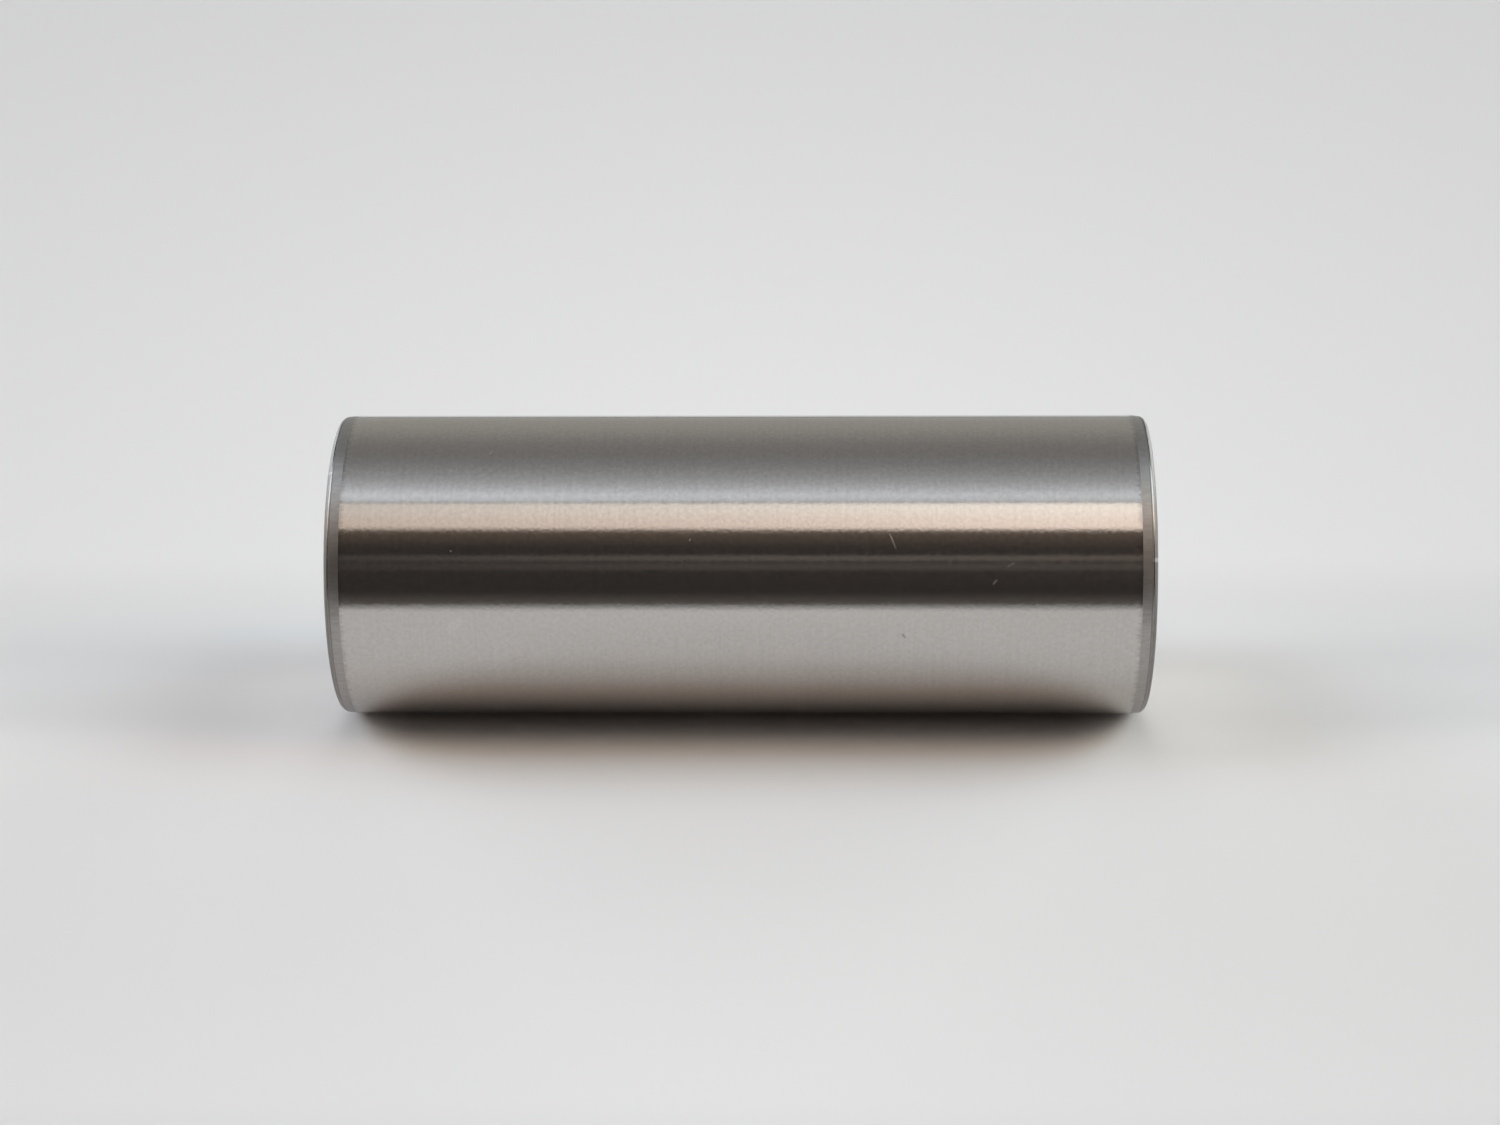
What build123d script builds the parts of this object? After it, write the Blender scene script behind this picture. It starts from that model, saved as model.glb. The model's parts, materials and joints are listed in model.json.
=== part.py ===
from build123d import *
import os

# Crank pin of a built-up crankshaft: one piece of case-hardened steel, turned, then ground on its outside.
# The pin stands on one end: +Z is its axis and the origin is the middle of its lower end face.
# All sizes are in millimetres.

# Driving sizes
pin_diameter = 22.0
pin_length = 59.0

# Turned lead-in at each end, which starts the pin straight when it is pressed into the crank web
lead_in_length = 1.1
lead_in_fall = 0.1

# Round between each end face and its lead-in
edge_round = 0.5

# Sizes that follow
pin_radius = pin_diameter / 2
end_radius = pin_radius - lead_in_fall
upper_lead_in_start = pin_length - lead_in_length


def half_section():
    """Half of the section through the axis, from the lower end face up to the upper one."""
    with BuildSketch(Plane.XZ) as section:
        with BuildLine():
            Polyline(
                (0, 0),
                (end_radius, 0),
                (pin_radius, lead_in_length),
                (pin_radius, upper_lead_in_start),
                (end_radius, pin_length),
                (0, pin_length),
                close=True,
            )
        make_face()
    return section.sketch


def crank_pin():
    """The section turned about the axis, with both of its end corners rounded."""
    with BuildPart() as pin:
        add(half_section())
        revolve(axis=Axis.Z)
        for end_face in (pin.faces().sort_by(Axis.Z)[0], pin.faces().sort_by(Axis.Z)[-1]):
            fillet(end_face.edges(), edge_round)
    return pin.part


os.makedirs("parts", exist_ok=True)
export_step(crank_pin(), "parts/crank_pin.step")
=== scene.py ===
import bmesh
import bpy
import json
import math
from mathutils import Matrix, Vector


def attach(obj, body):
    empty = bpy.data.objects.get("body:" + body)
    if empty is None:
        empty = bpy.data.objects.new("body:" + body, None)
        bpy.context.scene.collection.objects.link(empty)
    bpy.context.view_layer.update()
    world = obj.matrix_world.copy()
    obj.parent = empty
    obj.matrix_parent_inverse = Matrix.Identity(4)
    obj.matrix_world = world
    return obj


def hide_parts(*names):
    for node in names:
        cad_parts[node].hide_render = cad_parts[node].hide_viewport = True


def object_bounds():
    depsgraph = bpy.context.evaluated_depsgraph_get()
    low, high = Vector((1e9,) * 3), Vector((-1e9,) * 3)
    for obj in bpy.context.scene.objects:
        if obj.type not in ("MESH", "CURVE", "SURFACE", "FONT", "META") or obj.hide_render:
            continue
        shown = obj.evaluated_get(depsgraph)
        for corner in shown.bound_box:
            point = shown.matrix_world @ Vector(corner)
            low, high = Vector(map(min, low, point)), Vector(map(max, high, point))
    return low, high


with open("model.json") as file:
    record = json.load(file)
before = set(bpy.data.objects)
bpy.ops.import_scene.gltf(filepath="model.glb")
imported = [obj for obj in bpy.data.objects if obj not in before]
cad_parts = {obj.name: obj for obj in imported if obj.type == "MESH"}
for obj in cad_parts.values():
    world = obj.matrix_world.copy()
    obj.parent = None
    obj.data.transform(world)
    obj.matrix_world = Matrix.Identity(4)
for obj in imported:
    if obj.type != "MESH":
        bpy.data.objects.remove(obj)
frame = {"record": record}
cad_low, cad_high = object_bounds()

MM = 0.001

# Sizes of the pin, from the frame and as modelled in the part
ground_mount = next(mount for mount in frame["record"]["mounts"] if mount["name"] == "ground_surface")
pin_radius = ground_mount["dims"]["r_mm"] * MM
ground_length = ground_mount["dims"]["length_mm"] * MM
pin_length = cad_high.z - cad_low.z
lead_in_length = (pin_length - ground_length) / 2
lead_in_fall = 0.1 * MM
edge_round = 0.5 * MM

# Fineness of the pin's mesh
mesh_segments = 384
mesh_ground_rows = 24
mesh_round_steps = 24

# The pin stands on its end in this frame. The photographed view has it lying on its side, so the paper that
# it lies on is a plane along the pin's side, and the camera is turned to look at it across the axis.
paper_normal = Vector((1, -1, 0)).normalized()
front = Vector((-1, -1, 0)).normalized()
image_right = Vector((0, 0, -1))
pin_middle = Vector((0, 0, pin_length / 2))

# Camera, with its lens and sensor in millimetres
camera_lens = 75
camera_sensor = 36
camera_elevation = math.radians(22)
camera_yaw = math.radians(1.24)
camera_distance = 231.24 * MM
aim_right_of_middle = 0.505 * MM
aim_above_middle = 0.13 * MM

# Paper, and the dark room painted in the pin's reflections in place of the paper beyond its front edge
paper_reach = 1500 * MM
paper_front_edge = 89 * MM
dark_edge_lift = 0.1 * MM
paper_colour = (0.860, 0.852, 0.855)

# Plain backdrop, where the camera looks past the paper or at its clear side
backdrop_colour = (0.7, 0.7, 0.71)

# Steel as the photo shows it, from its bright reflections
steel_colour = (0.543, 0.52, 0.50)


def link(obj):
    """Put a new object into the scene."""
    bpy.context.scene.collection.objects.link(obj)
    return obj


def steel_tone(amount):
    """The steel's colour made lighter or darker."""
    return tuple(part * amount for part in steel_colour)


class Graph:
    """Short calls for building a node tree."""

    def __init__(self, tree):
        self.tree = tree

    def node(self, kind, **settings):
        made = self.tree.nodes.new(kind)
        for key, value in settings.items():
            setattr(made, key, value)
        return made

    def feed(self, socket, value):
        """Link a socket to another one, or set it to a plain value."""
        if isinstance(value, bpy.types.NodeSocket):
            self.tree.links.new(value, socket)
        else:
            socket.default_value = value

    def math(self, operation, first, second=0.0):
        made = self.node("ShaderNodeMath", operation=operation)
        self.feed(made.inputs[0], first)
        self.feed(made.inputs[1], second)
        return made.outputs[0]

    def times(self, first, *others):
        """The product of two or more numbers."""
        product = first
        for other in others:
            product = self.math("MULTIPLY", product, other)
        return product

    def invert(self, value):
        """1 where the value is 0, and 0 where it is 1."""
        return self.math("SUBTRACT", 1.0, value)

    def vector(self, operation, first, second):
        made = self.node("ShaderNodeVectorMath", operation=operation)
        self.feed(made.inputs[0], first)
        self.feed(made.inputs[1], second)
        return made.outputs[0]

    def dot(self, vector, constant):
        made = self.node("ShaderNodeVectorMath", operation="DOT_PRODUCT")
        self.feed(made.inputs[0], vector)
        made.inputs[1].default_value = constant
        return made.outputs["Value"]

    def length(self, x, y, z=0.0):
        """Length of the vector with these parts."""
        parts = self.node("ShaderNodeCombineXYZ")
        for socket, part in zip(parts.inputs, (x, y, z)):
            self.feed(socket, part)
        made = self.node("ShaderNodeVectorMath", operation="LENGTH")
        self.feed(made.inputs[0], parts.outputs[0])
        return made.outputs["Value"]

    def ramp(self, value, low, high):
        """0 below low, 1 above high, smooth between them."""
        made = self.node("ShaderNodeMapRange", interpolation_type="SMOOTHSTEP")
        self.feed(made.inputs["Value"], value)
        made.inputs["From Min"].default_value = low
        made.inputs["From Max"].default_value = high
        return made.outputs["Result"]

    def window(self, value, low, high, soft_low, soft_high):
        """1 between low and high, falling softly to 0 outside them."""
        rise = self.ramp(value, low - soft_low / 2, low + soft_low / 2)
        fall = self.ramp(value, high - soft_high / 2, high + soft_high / 2)
        return self.times(rise, self.invert(fall))

    def fade(self, value, start, length):
        """1 up to start, then falling by a factor of e over each length."""
        past = self.math("MAXIMUM", self.math("SUBTRACT", value, start), 0.0)
        return self.math("EXPONENT", self.math("DIVIDE", past, -length))

    def between(self, amount, low, high):
        """A number from low, where the amount is 0, to high, where it is 1."""
        made = self.node("ShaderNodeMapRange")
        self.feed(made.inputs["Value"], amount)
        made.inputs["To Min"].default_value = low
        made.inputs["To Max"].default_value = high
        return made.outputs["Result"]

    def tint(self, amount, colour):
        """A colour made lighter or darker by an amount."""
        made = self.node("ShaderNodeVectorMath", operation="SCALE")
        self.feed(made.inputs[0], colour)
        self.feed(made.inputs["Scale"], amount)
        return made.outputs[0]

    def glow(self, base, amount, colour):
        """base plus amount times a colour."""
        return self.vector("ADD", base, self.tint(amount, colour))

    def blend(self, amount, first, second):
        """A colour from first, where the amount is 0, to second, where it is 1."""
        made = self.node("ShaderNodeMix", data_type="RGBA")
        self.feed(made.inputs["Factor"], amount)
        for socket, colour in ((made.inputs["A"], first), (made.inputs["B"], second)):
            self.feed(socket, colour if isinstance(colour, bpy.types.NodeSocket) else (*colour, 1))
        return made.outputs["Result"]

    def noise(self, position, fineness, detail=2.0):
        """Noise about a middle of 0.5, its fineness in waves a metre along each axis."""
        made = self.node("ShaderNodeTexNoise")
        self.feed(made.inputs["Vector"], self.vector("MULTIPLY", position, fineness))
        made.inputs["Scale"].default_value = 1.0
        made.inputs["Detail"].default_value = detail
        return made.outputs[0]

    def bump(self, height, depth):
        """The surface normal of a relief, its depth in metres."""
        made = self.node("ShaderNodeBump")
        made.inputs["Distance"].default_value = depth
        self.feed(made.inputs["Height"], height)
        return made.outputs["Normal"]


def new_material(name):
    """A node material with a Principled shader, and the place on the object that its nodes go by."""
    material = bpy.data.materials.new(name)
    material.use_nodes = True
    graph = Graph(material.node_tree)
    position = graph.node("ShaderNodeTexCoord").outputs["Object"]
    return material, graph, material.node_tree.nodes["Principled BSDF"], position


def end_profile():
    """Half section of one end, from the middle of its face outwards: (radius, height above the face)."""
    slope = math.atan2(lead_in_fall, lead_in_length)
    end_radius = pin_radius - lead_in_fall
    # The round touches the face and the lead-in, so its centre lies edge_round from both
    centre_height = edge_round
    centre_radius = end_radius + math.tan(slope) * centre_height - edge_round / math.cos(slope)
    points = [(0.0, 0.0)]
    turn = math.pi / 2 - slope
    for step in range(mesh_round_steps + 1):
        angle = -math.pi / 2 + turn * step / mesh_round_steps
        radius = centre_radius + edge_round * math.cos(angle)
        height = centre_height + edge_round * math.sin(angle)
        points.append((radius, height))
    points.append((pin_radius, lead_in_length))
    return points


def ring(bm, radius, height):
    """The mesh's points round the pin at one radius and height. On the axis they are all the same one."""
    if radius == 0:
        return [bm.verts.new((0, 0, height))] * mesh_segments
    turns = [2 * math.pi * segment / mesh_segments for segment in range(mesh_segments)]
    return [bm.verts.new((radius * math.cos(turn), radius * math.sin(turn), height)) for turn in turns]


def build_pin():
    """The pin turned as a fine mesh of the same form as the part."""
    lower = end_profile()
    ground_heights = [
        lead_in_length + ground_length * row / mesh_ground_rows for row in range(1, mesh_ground_rows)
    ]
    ground = [(pin_radius, height) for height in ground_heights]
    upper = [(radius, pin_length - height) for radius, height in reversed(lower)]
    mesh = bpy.data.meshes.new("ground_pin")
    bm = bmesh.new()
    rings = [ring(bm, radius, height) for radius, height in lower + ground + upper]
    for low_ring, high_ring in zip(rings, rings[1:]):
        for segment in range(mesh_segments):
            after = (segment + 1) % mesh_segments
            corners = [low_ring[segment], low_ring[after], high_ring[after], high_ring[segment]]
            # At the middle of an end face two of the corners are the same one
            face = bm.faces.new(list(dict.fromkeys(corners)))
            face.smooth = True
    # The ground cylinder meets each lead-in at a sharp edge
    for border in (rings[len(lower) - 1], rings[-len(lower)]):
        for vertex, after in zip(border, border[1:] + border[:1]):
            bm.edges.get((vertex, after)).smooth = False
    bm.to_mesh(mesh)
    bm.free()
    return link(bpy.data.objects.new("ground_pin", mesh))


def mark(graph, position, height, angle, length, width, lean=0.0):
    """Where a small mark lies on the pin: 1 on it, 0 off it, with sizes in millimetres and angles in degrees.

    The angle is counted upwards from the front of the photographed view. A mark with no lean runs round the
    pin, and one with a lean turns towards the picture's right as it rises.
    """
    edge_start = 0.4
    angle = math.radians(angle)
    lean = math.radians(lean)
    outward = front * math.cos(angle) + paper_normal * math.sin(angle)
    upward = paper_normal * math.cos(angle) - front * math.sin(angle)
    along_mark = upward * math.cos(lean) + image_right * math.sin(lean)
    across_mark = image_right * math.cos(lean) - upward * math.sin(lean)
    place = outward * pin_radius + Vector((0, 0, height * MM))
    offset = graph.vector("SUBTRACT", position, place)
    distance = graph.length(
        graph.dot(offset, along_mark * 2 / (length * MM)),
        graph.dot(offset, across_mark * 2 / (width * MM)),
        graph.dot(offset, outward * 2 / pin_radius),
    )
    return graph.invert(graph.ramp(distance, edge_start, 1.0))


def scuffs(graph, position):
    """The small light marks on the ground surface: a thin scratch, two short strokes and two specks."""
    scratch_strength = 0.6
    scratch = mark(graph, position, height=18.7, angle=30.6, length=1.75, width=0.16, lean=-22)
    stroke = mark(graph, position, height=10.4, angle=21.8, length=0.70, width=0.22, lean=57)
    lower_stroke = mark(graph, position, height=11.5, angle=15.5, length=0.60, width=0.22, lean=38)
    speck = mark(graph, position, height=49.9, angle=26.9, length=0.20, width=0.20)
    middle_speck = mark(graph, position, height=33.0, angle=31.0, length=0.22, width=0.12, lean=20)
    found = graph.times(scratch, scratch_strength)
    for other in (stroke, lower_stroke, speck, middle_speck):
        found = graph.math("MAXIMUM", found, other)
    return found


def from_end(graph, position):
    """Distance along the axis from the nearer end of the pin."""
    height = graph.dot(position, Vector((0, 0, 1)))
    from_middle = graph.math("ABSOLUTE", graph.math("SUBTRACT", height, pin_length / 2))
    return graph.math("SUBTRACT", pin_length / 2, from_middle)


def turned_border(graph, position):
    """Where the turning tool's short marks run out into the ground surface: 1 on them, 0 off them."""
    tick_fineness = (4500, 4500, 500)
    tick_reach = 0.45 * MM
    border_start = -0.05 * MM
    border_end = 0.35 * MM
    from_lead_in = graph.math("SUBTRACT", from_end(graph, position), lead_in_length)
    ticks = graph.noise(position, tick_fineness)
    ragged = graph.math("ADD", from_lead_in, graph.between(ticks, -tick_reach, tick_reach))
    return graph.invert(graph.ramp(ragged, border_start, border_end))


def brush_round_pin(graph, shader, strength):
    """Give the steel fine grooves that run round the pin and blur what it mirrors along its axis."""
    quarter_turn = 0.25
    shader.inputs["Anisotropic"].default_value = strength
    shader.inputs["Anisotropic Rotation"].default_value = quarter_turn
    tangent = graph.node("ShaderNodeTangent", direction_type="RADIAL", axis="Z")
    graph.feed(shader.inputs["Tangent"], tangent.outputs[0])


def ground_steel():
    """Finely ground steel: a mirror round the pin, blurred along it by the grinding marks."""
    streak_fineness = (120, 120, 5000)
    grain_fineness = (3600, 3600, 3600)
    streak_share = 0.25
    grain_depth = 3e-6
    patch_strength = 0.15
    curl_strength = 0.6
    border_strength = 0.6
    scuff_roughness = 0.4
    material, graph, shader, position = new_material("ground_steel")
    # Grinding marks run round the pin, so the streaks are fine along the axis and long round it
    streaks = graph.noise(position, streak_fineness)
    grain = graph.noise(position, grain_fineness, detail=3.0)
    speckle = graph.math("ADD", graph.times(streaks, streak_share), graph.times(grain, 1 - streak_share))
    # A soft light patch and a faint curl
    patch = mark(graph, position, height=49.7, angle=-1.0, length=2.2, width=1.0, lean=45)
    curl = mark(graph, position, height=47.4, angle=68.7, length=0.75, width=0.2, lean=25)
    lighter = graph.math("MAXIMUM", graph.times(patch, patch_strength), graph.times(curl, curl_strength))
    colour = graph.blend(graph.math("ADD", speckle, lighter), steel_tone(0.8), steel_tone(1.2))
    # One small dark tick, and the ragged border of the lead-ins
    tick = mark(graph, position, height=17.9, angle=-5.4, length=0.65, width=0.24, lean=-35)
    border = turned_border(graph, position)
    dark = graph.math("MAXIMUM", tick, graph.times(border, border_strength))
    graph.feed(shader.inputs["Base Color"], graph.blend(dark, colour, steel_tone(0.6)))
    worn = graph.times(scuffs(graph, position), scuff_roughness)
    graph.feed(shader.inputs["Roughness"], graph.math("ADD", graph.between(grain, 0.12, 0.18), worn))
    graph.feed(shader.inputs["Normal"], graph.bump(grain, grain_depth))
    shader.inputs["Metallic"].default_value = 1.0
    brush_round_pin(graph, shader, 0.9)
    return material


def turned_steel():
    """The turned lead-ins: duller, with the fine lines and short ticks of the turning tool."""
    line_fineness = (150, 150, 9000)
    tick_fineness = (5000, 5000, 1200)
    line_depth = 2e-6
    material, graph, shader, position = new_material("turned_steel")
    lines = graph.noise(position, line_fineness)
    ticks = graph.noise(position, tick_fineness)
    graph.feed(shader.inputs["Base Color"], graph.blend(ticks, steel_tone(0.56), steel_tone(0.88)))
    graph.feed(shader.inputs["Roughness"], graph.between(lines, 0.38, 0.50))
    graph.feed(shader.inputs["Normal"], graph.bump(lines, line_depth))
    shader.inputs["Metallic"].default_value = 1.0
    brush_round_pin(graph, shader, 0.4)
    return material


def edge_steel():
    """The edge rounds, dull and darker than the ground surface, with a thin line rubbed bright."""
    unevenness_fineness = (2500, 2500, 2500)
    unevenness_depth = 1e-6
    far_nick_strength = 0.5
    rubbed_start = 0.28 * MM
    rubbed_end = 0.36 * MM
    rubbed_softness = 0.04 * MM
    rubbed_smoothing = 0.36
    material, graph, shader, position = new_material("edge_steel")
    unevenness = graph.noise(position, unevenness_fineness)
    # Two bright nicks, one at each end
    nick = mark(graph, position, height=0.2, angle=23.6, length=0.45, width=0.6)
    far_nick = mark(graph, position, height=58.8, angle=58.9, length=0.3, width=0.4)
    bright = graph.math("MAXIMUM", nick, graph.times(far_nick, far_nick_strength))
    colour = graph.blend(unevenness, steel_tone(0.45), steel_tone(0.59))
    graph.feed(shader.inputs["Base Color"], graph.blend(bright, colour, steel_colour))
    height = from_end(graph, position)
    rubbed = graph.window(height, rubbed_start, rubbed_end, rubbed_softness, rubbed_softness)
    smoother = graph.times(rubbed, rubbed_smoothing)
    roughness = graph.math("SUBTRACT", graph.between(unevenness, 0.52, 0.62), smoother)
    graph.feed(shader.inputs["Roughness"], roughness)
    graph.feed(shader.inputs["Normal"], graph.bump(unevenness, unevenness_depth))
    shader.inputs["Metallic"].default_value = 1.0
    return material


def faced_steel():
    """The end faces: smooth, with fine rings left by facing."""
    ring_fineness = (6000, 0, 0)
    ring_depth = 1e-6
    material, graph, shader, position = new_material("faced_steel")
    parts = graph.node("ShaderNodeSeparateXYZ")
    graph.feed(parts.inputs[0], position)
    from_axis = graph.node("ShaderNodeCombineXYZ")
    graph.feed(from_axis.inputs[0], graph.length(parts.outputs[0], parts.outputs[1]))
    rings = graph.noise(from_axis.outputs[0], ring_fineness)
    graph.feed(shader.inputs["Base Color"], graph.blend(rings, steel_tone(1.1), steel_tone(1.25)))
    graph.feed(shader.inputs["Roughness"], graph.between(rings, 0.12, 0.2))
    graph.feed(shader.inputs["Normal"], graph.bump(rings, ring_depth))
    shader.inputs["Metallic"].default_value = 1.0
    return material


def dress(pin):
    """Give each face of the pin its steel, by how far it lies from the nearer end."""
    flat_from = 0.999
    steels = (ground_steel(), turned_steel(), edge_steel(), faced_steel())
    ground, turned, edge, faced = range(len(steels))
    for steel in steels:
        pin.data.materials.append(steel)
    for polygon in pin.data.polygons:
        end_distance = min(polygon.center.z, pin_length - polygon.center.z)
        if end_distance > lead_in_length:
            polygon.material_index = ground
        elif end_distance > edge_round:
            polygon.material_index = turned
        elif abs(polygon.normal.z) < flat_from:
            polygon.material_index = edge
        else:
            polygon.material_index = faced


def paper_light(graph, side, ahead):
    """How light the paper is painted, by how far it lies beside and ahead of the pin's middle."""
    far_light = 0.7
    fade_length = 130 * MM
    # Painted shade: the paper darkens away from the pin, half as fast ahead of it and behind it as to the
    # sides
    from_pin = graph.length(side, graph.times(ahead, 0.5))
    light = graph.between(graph.fade(from_pin, 0.0, fade_length), far_light, 1.0)
    # More painted shade: it darkens again in front of what the camera sees and far behind the pin
    painted_shade_in_front = graph.ramp(ahead, 56 * MM, 80 * MM)
    painted_shade_far_behind = graph.invert(graph.ramp(ahead, -450 * MM, -260 * MM))
    # Painted shadow near the pin: darkest along the front, lighter in front of the ends, a little darker
    # behind
    along_pin = graph.window(side, -26 * MM, 26 * MM, 5 * MM, 5 * MM)
    painted_contact_shadow = graph.times(along_pin, graph.window(ahead, 0.0, 6.2 * MM, 3 * MM, 6.4 * MM))
    painted_light_near_ends = graph.times(graph.invert(along_pin), graph.window(ahead, 5 * MM, 14 * MM, 6 * MM, 12 * MM))
    behind = graph.window(ahead, -24 * MM, -6 * MM, 12 * MM, 8 * MM)
    changes = ((painted_shade_in_front, 0.45), (painted_shade_far_behind, 0.35), (painted_contact_shadow, 0.70), (painted_light_near_ends, 1.07), (behind, 0.93))
    for where, factor in changes:
        light = graph.times(light, graph.between(where, 1.0, factor))
    return light


def paper_white():
    """White paper with painted shade and shadow round the pin, clear from behind so that it hides nothing
    there.
    """
    material, graph, shader, position = new_material("paper")
    from_middle = graph.vector("SUBTRACT", position, pin_middle)
    side = graph.dot(from_middle, image_right)
    ahead = graph.dot(from_middle, front)
    # The paper's colour carries painted shade and a painted contact shadow from paper_light
    graph.feed(shader.inputs["Base Color"], graph.tint(paper_light(graph, side, ahead), paper_colour))
    shader.inputs["Roughness"].default_value = 0.9
    shader.inputs["Specular IOR Level"].default_value = 0.1
    # Under the pin, where the photographed view can't look, the paper has a painted glow that shows only in
    # reflections, so that the pin's lower side isn't black when it is seen from behind the paper
    reflected = graph.node("ShaderNodeLightPath").outputs["Is Glossy Ray"]
    painted_glow_under_pin = graph.window(ahead, -9 * MM, -0.5 * MM, 10 * MM, 3 * MM)
    graph.feed(shader.inputs["Emission Strength"], graph.times(reflected, painted_glow_under_pin))
    shader.inputs["Emission Color"].default_value = (0.26, 0.25, 0.24, 1)
    clear = graph.node("ShaderNodeBsdfTransparent")
    mix = graph.node("ShaderNodeMixShader")
    graph.feed(mix.inputs["Fac"], graph.node("ShaderNodeNewGeometry").outputs["Backfacing"])
    graph.feed(mix.inputs[1], shader.outputs[0])
    graph.feed(mix.inputs[2], clear.outputs[0])
    graph.feed(material.node_tree.nodes["Material Output"].inputs["Surface"], mix.outputs[0])
    return material


def painted_room_reflection():
    """A painted reflection of the dim room in front of the paper: a glow, lightest just beyond the paper's
    edge.
    """
    far_colour = (0.064, 0.057, 0.052)
    edge_colour = (0.050, 0.045, 0.040)
    fade_length = 120 * MM
    material, graph, shader, position = new_material("painted_room_reflection")
    near_edge = graph.fade(graph.dot(position, front), paper_front_edge, fade_length)
    shader.inputs["Base Color"].default_value = (0, 0, 0, 1)
    shader.inputs["Specular IOR Level"].default_value = 0.0
    graph.feed(shader.inputs["Emission Color"], graph.glow(far_colour, near_edge, edge_colour))
    shader.inputs["Emission Strength"].default_value = 1.0
    return material


def sheet(name, near, lift, material):
    """A flat sheet along the pin's side that faces the pin, at a height of lift above the paper.

    It starts at near, measured forwards from the pin's axis, and reaches as far as the paper.
    """
    base = -paper_normal * (pin_radius - lift) + pin_middle
    corners = [
        base + front * near + image_right * paper_reach,
        base + front * near - image_right * paper_reach,
        base + front * paper_reach - image_right * paper_reach,
        base + front * paper_reach + image_right * paper_reach,
    ]
    mesh = bpy.data.meshes.new(name)
    mesh.from_pydata(corners, [], [(0, 1, 2, 3)])
    if mesh.polygons[0].normal.dot(paper_normal) < 0:
        mesh.flip_normals()
    mesh.materials.append(material)
    made = link(bpy.data.objects.new(name, mesh))
    return made


def lay_dark_edge():
    """A glowing sheet seen only in reflections paints the paper's front edge into what the pin mirrors, so
    that the camera sees paper everywhere.
    """
    dark_edge = sheet("dark_edge", paper_front_edge, dark_edge_lift, painted_room_reflection())
    dark_edge.visible_camera = False
    dark_edge.visible_diffuse = False
    dark_edge.visible_shadow = False


class Room:
    """Directions in the room, and the light that comes from each of them.

    The angle is counted round the pin's axis in degrees: 0 is level in front, 90 straight above, 180 level
    behind. The side goes from -1, the far left of the picture, to 1, the far right.
    """

    def __init__(self, graph):
        self.graph = graph
        direction = graph.node("ShaderNodeTexCoord").outputs["Generated"]
        # The room is the same on both sides of the paper, so the pin's far side is lit as well
        self.up = graph.math("ABSOLUTE", graph.dot(direction, paper_normal))
        self.ahead = graph.dot(direction, front)
        self.side = graph.dot(direction, image_right)
        self.angle = graph.times(graph.math("ARCTAN2", self.up, self.ahead), 180 / math.pi)
        # What the side of the pin mirrors in the photograph lies in this middle part
        self.middle = graph.window(self.side, -0.27, 0.24, 0.1, 0.1)
        self.light = (0.044, 0.039, 0.036)

    def add(self, amount, colour):
        self.light = self.graph.glow(self.light, amount, colour)

    def add_in_middle(self, amount, colour):
        self.add(self.graph.times(self.middle, amount), colour)

    def softbox(self, towards, colour, up, ahead, soft_up, soft_ahead):
        """A soft light beside the pin, on the left (-1) or right (1), between two heights and two depths."""
        side_start = 0.40
        side_full = 0.52
        beside = self.graph.ramp(self.graph.times(self.side, towards), side_start, side_full)
        tall = self.graph.window(self.up, *up, *soft_up)
        deep = self.graph.window(self.ahead, *ahead, *soft_ahead)
        self.add(self.graph.times(beside, tall, deep), colour)


def add_camera_bands(room):
    """Two dim bands at the camera, and a dim warm glow to the right of them."""
    graph = room.graph
    opposite = graph.window(room.side, -0.115, 0.18, 0.20, 0.30)
    lower_band = graph.times(opposite, graph.window(room.angle, 17.6, 22.8, 3, 3))
    upper_band = graph.times(opposite, graph.window(room.angle, 24.6, 28.6, 2, 1.6))
    room.add(lower_band, (0.070, 0.064, 0.057))
    room.add(upper_band, (0.140, 0.125, 0.110))
    # Only the right end mirrors the glow
    beside = graph.window(room.side, 0.34, 0.60, 0.1, 0.1)
    room.add(graph.times(beside, graph.window(room.angle, 8, 50, 12, 12)), (0.60, 0.48, 0.40))


def add_lamp_strip(room):
    """The wall above the camera, and over it a lamp-lit strip, warmer below and brighter on the right."""
    graph = room.graph
    edge_tilt = 2.0
    room.add_in_middle(graph.window(room.angle, 40, 68, 16, 1), (0.085, 0.062, 0.042))
    tilted = graph.math("ADD", room.angle, graph.times(room.side, edge_tilt))
    lower_edge = graph.ramp(tilted, 46.2, 50.7)
    upper_edge = graph.window(room.angle, 40, 69.6, 1, 1.4)
    left_end = graph.ramp(room.side, -0.28, -0.17)
    brightness = graph.between(graph.ramp(room.side, 0.0, 0.05), 0.93, 1.50)
    colour = graph.blend(graph.ramp(room.angle, 52, 67), (1.04, 0.895, 0.80), (1.11, 1.05, 0.97))
    room.add_in_middle(graph.times(lower_edge, upper_edge, brightness, left_end), colour)


def add_ceiling(room):
    """The ceiling: bright and bluish beside the strip, then grey, then lighter and yellowish at the back."""
    graph = room.graph
    outward_gain = 9.0
    ceiling = graph.window(room.angle, 70.3, 181, 2, 1)
    cove = graph.between(graph.ramp(room.angle, 70, 78), 0.78, 1.0)
    outwards = graph.math("ADD", graph.times(room.side, room.side, outward_gain), 1.0)
    bright = graph.times(ceiling, cove, graph.fade(room.angle, 76, 13), outwards)
    room.add_in_middle(bright, (0.67, 0.73, 0.80))
    room.add_in_middle(ceiling, (0.193, 0.192, 0.188))
    room.add_in_middle(graph.ramp(room.angle, 113, 157), (0.172, 0.17, 0.15))


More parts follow.
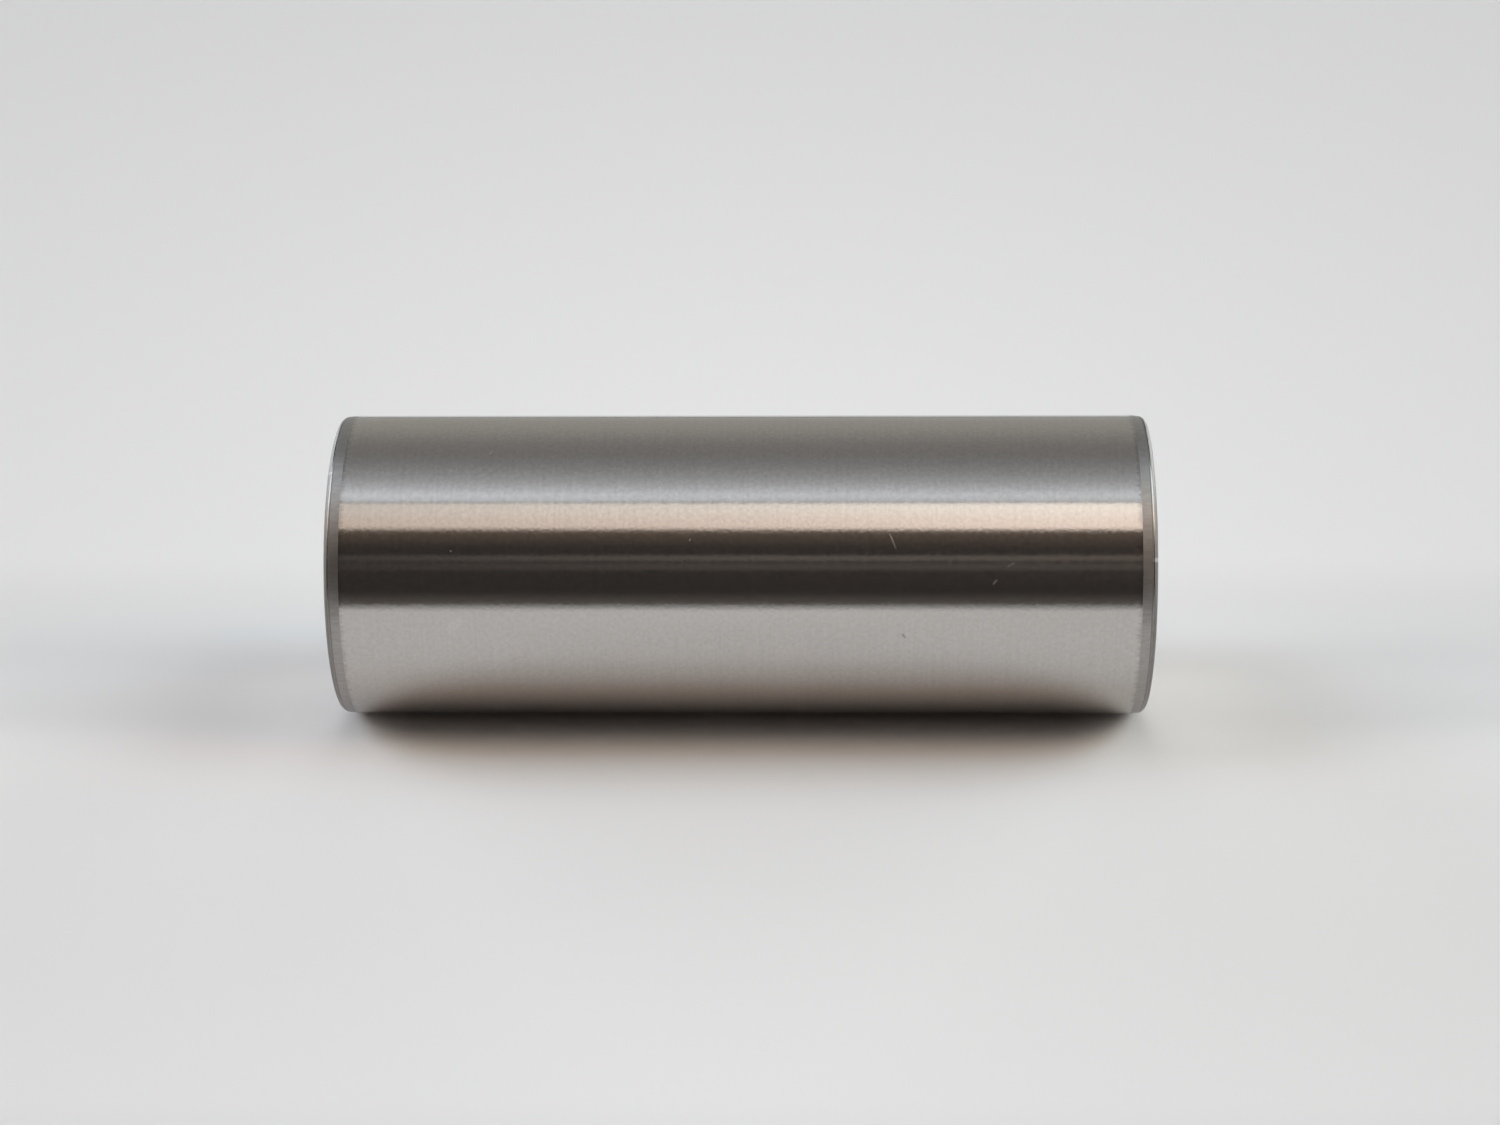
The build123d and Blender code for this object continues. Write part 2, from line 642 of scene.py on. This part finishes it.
def add_side_lights(room):
    """Daylight high on both sides and a lower part of it behind, lamplight, and low light from behind.

    The lamplight is beside the pin and, on the right, in front of it as well. Each light has its heights and
    its depths ahead of the pin, and how softly it ends there.
    """
    left = -1
    right = 1
    daylight = dict(up=(0.42, 0.86), ahead=(-0.33, 0.14), soft_up=(0.3, 0.05), soft_ahead=(0.25, 0.1))
    lower_daylight = dict(up=(0.30, 0.60), ahead=(-0.45, -0.10), soft_up=(0.1, 0.1), soft_ahead=(0.1, 0.1))
    lamp = dict(up=(0.36, 0.60), ahead=(-0.10, 0.30), soft_up=(0.1, 0.1), soft_ahead=(0.1, 0.1))
    front_lamp = dict(up=(0.50, 0.84), ahead=(0.14, 0.36), soft_up=(0.2, 0.05), soft_ahead=(0.1, 0.2))
    low_light = dict(up=(0.05, 0.36), ahead=(-0.98, -0.45), soft_up=(0.05, 0.1), soft_ahead=(0.1, 0.1))
    room.softbox(left, (2.95, 3.35, 3.85), **daylight)
    room.softbox(left, (1.6, 1.45, 1.25), **lower_daylight)
    room.softbox(left, (4.1, 3.25, 2.45), **lamp)
    room.softbox(left, (4.9, 5.4, 5.8), **low_light)
    room.softbox(right, (2.8, 3.35, 3.65), **daylight)
    room.softbox(right, (1.35, 1.5, 1.55), **lower_daylight)
    room.softbox(right, (4.4, 3.85, 3.1), **lamp)
    room.softbox(right, (2.85, 2.05, 1.4), **front_lamp)
    room.softbox(right, (5.6, 5.95, 5.85), **low_light)


def room_world():
    """The room that lights the pin and that its steel mirrors, with a plain backdrop for the camera."""
    world = bpy.data.worlds.new("room")
    world.use_nodes = True
    bpy.context.scene.world = world
    graph = Graph(world.node_tree)
    room = Room(graph)
    add_camera_bands(room)
    add_lamp_strip(room)
    add_ceiling(room)
    add_side_lights(room)
    seen = graph.node("ShaderNodeLightPath").outputs["Is Camera Ray"]
    background = world.node_tree.nodes["Background"]
    graph.feed(background.inputs["Color"], graph.blend(seen, room.light, backdrop_colour))


def photo_camera():
    """The photographed view, with the pin's axis level in the picture."""
    data = bpy.data.cameras.new("camera")
    data.lens = camera_lens
    data.sensor_width = camera_sensor
    camera = link(bpy.data.objects.new("camera", data))
    level_forward = -(front * math.cos(camera_elevation) + paper_normal * math.sin(camera_elevation))
    right = image_right * math.cos(camera_yaw) + level_forward * math.sin(camera_yaw)
    forward = level_forward * math.cos(camera_yaw) - image_right * math.sin(camera_yaw)
    up = right.cross(forward)
    place = pin_middle - forward * camera_distance + right * aim_right_of_middle + up * aim_above_middle
    turn = Matrix((right, up, -forward)).transposed()
    camera.matrix_world = Matrix.Translation(place) @ turn.to_4x4()
    bpy.context.scene.camera = camera


pin = build_pin()
dress(pin)
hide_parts("crank_pin")
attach(pin, "root")

sheet("paper", -paper_reach, 0.0, paper_white())
lay_dark_edge()
room_world()
photo_camera()
bpy.context.scene.view_settings.view_transform = "Standard"
